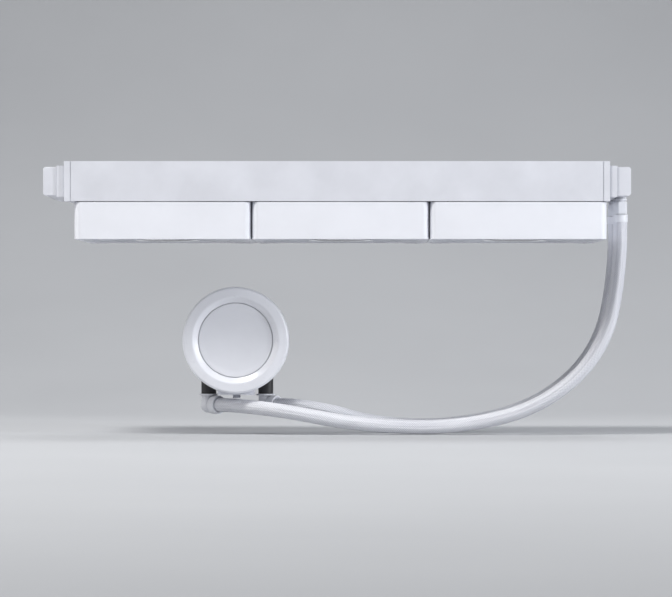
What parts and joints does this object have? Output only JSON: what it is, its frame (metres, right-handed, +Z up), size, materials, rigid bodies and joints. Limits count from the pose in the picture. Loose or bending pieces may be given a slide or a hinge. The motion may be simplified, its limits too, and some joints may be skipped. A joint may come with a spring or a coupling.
{
  "type": "liquid cooling radiator",
  "caption": "Closed-loop liquid cooler: flat finned radiator with side rails, square fans below it and sleeved hoses curving to a round pump head.",
  "frame": {"origin": "centre of the radiator's top face, in the middle of the middle fan's four case screw holes", "axes": "+X along the radiator towards the hose ports, +Y away from the pump head's face and towards the board it cools, +Z up, out of the face that bolts to the case"},
  "size_m": [0.3988, 0.1231, 0.1853],
  "materials": {
    "white_paint": "satin powder coat",
    "fin_paint": "thin satin paint on folded fins",
    "white_plastic": "fine moulded texture",
    "blade_plastic": "satin translucent white",
    "cap_plastic": "satin painted plastic",
    "disc_plastic": "satin disc",
    "fitting_paint": "painted fitting",
    "sleeve_braid": "woven nylon braid",
    "hose_rubber": "smooth rubber hose",
    "seal_rubber": "O-ring rubber",
    "pad_rubber": "soft pad",
    "black_plastic": "moulded black",
    "badge": "glossy black",
    "trim_chrome": "polished ring",
    "screw_steel": "zinc-plated steel",
    "shaft_steel": "ground steel",
    "shaft_ceramic": "polished ceramic",
    "bearing_bronze": "sintered bronze",
    "magnet": "bonded ferrite magnet",
    "stator_steel": "laminated core",
    "board": "circuit board",
    "copper": "machined copper",
    "rotor_plastic": "moulded rotor"
  },
  "bodies": {
    "radiator": {"rail_front": "white_paint", "rail_rear": "white_paint", "port_tank": "white_paint", "return_tank": "white_paint", "port_tray": "white_paint", "return_tray": "white_paint", "coolant_tubes": "fin_paint", "cooling_fins": "fin_paint", "fill_plug": "screw_steel", "port_fitting_front": "fitting_paint", "port_fitting_rear": "fitting_paint", "port_ferrule_front": "fitting_paint", "port_ferrule_rear": "fitting_paint", "hose_front": "hose_rubber", "hose_rear": "hose_rubber", "sleeve_front": "sleeve_braid", "sleeve_rear": "sleeve_braid", "fan_frame_1": "white_plastic", "fan_frame_2": "white_plastic", "fan_frame_3": "white_plastic", "fan_stators": "stator_steel", "fan_bearings": "bearing_bronze", "fan_boards": "board", "fan_pads": "pad_rubber", "fan_screws": "screw_steel", "fan_leads": "white_plastic"},
    "pump_head": {"cold_plate": "copper", "plate_screws": "screw_steel", "base_gasket": "seal_rubber", "jet_plate": "rotor_plastic", "pump_housing": "black_plastic", "pump_stator": "stator_steel", "pump_board": "board", "pump_shaft": "shaft_ceramic", "cap_shell": "cap_plastic", "bezel_ring": "cap_plastic", "face_disc": "disc_plastic"},
    "pump_rotor_body": {"pump_rotor": "rotor_plastic"},
    "elbow_front_body": {"elbow_front": "fitting_paint", "elbow_seal_front": "seal_rubber", "elbow_ferrule_front": "fitting_paint"},
    "elbow_rear_body": {"elbow_rear": "fitting_paint", "elbow_seal_rear": "seal_rubber", "elbow_ferrule_rear": "fitting_paint"},
    "fan_rotor_1": {"impeller_1": "blade_plastic", "hub_ring_1": "trim_chrome", "hub_dome_1": "badge", "rotor_magnet_1": "magnet", "rotor_shaft_1": "shaft_steel"},
    "fan_rotor_2": {"impeller_2": "blade_plastic", "hub_ring_2": "trim_chrome", "hub_dome_2": "badge", "rotor_magnet_2": "magnet", "rotor_shaft_2": "shaft_steel"},
    "fan_rotor_3": {"impeller_3": "blade_plastic", "hub_ring_3": "trim_chrome", "hub_dome_3": "badge", "rotor_magnet_3": "magnet", "rotor_shaft_3": "shaft_steel"}
  },
  "joints": [
    {"name": "fan_1_spin", "type": "hinge", "parent": "radiator", "child": "fan_rotor_1", "pos_m": [-0.12, 0, -0.0275], "axis": [0, 0, 1], "continuous": true},
    {"name": "fan_2_spin", "type": "hinge", "parent": "radiator", "child": "fan_rotor_2", "pos_m": [0, 0, -0.0275], "axis": [0, 0, 1], "continuous": true},
    {"name": "fan_3_spin", "type": "hinge", "parent": "radiator", "child": "fan_rotor_3", "pos_m": [0.12, 0, -0.0275], "axis": [0, 0, 1], "continuous": true},
    {"name": "pump_reach", "type": "slide", "parent": "radiator", "child": "pump_head", "axis": [0, -1, 0], "range_m": [0, 0.03], "stiffness_N_per_m": 20, "deforming": ["hose_front", "hose_rear", "sleeve_front", "sleeve_rear"]},
    {"name": "pump_rotor_spin", "type": "hinge", "parent": "pump_head", "child": "pump_rotor_body", "pos_m": [-0.0723, 0.013, -0.121], "axis": [0, 1, 0], "continuous": true},
    {"name": "elbow_front_swivel", "type": "hinge", "parent": "pump_head", "child": "elbow_front_body", "pos_m": [-0.0921, 0.013, -0.166], "axis": [0, 0, 1], "range_deg": [-12, 12]},
    {"name": "elbow_rear_swivel", "type": "hinge", "parent": "pump_head", "child": "elbow_rear_body", "pos_m": [-0.0525, 0.013, -0.166], "axis": [0, 0, 1], "range_deg": [-12, 12]}
  ]
}
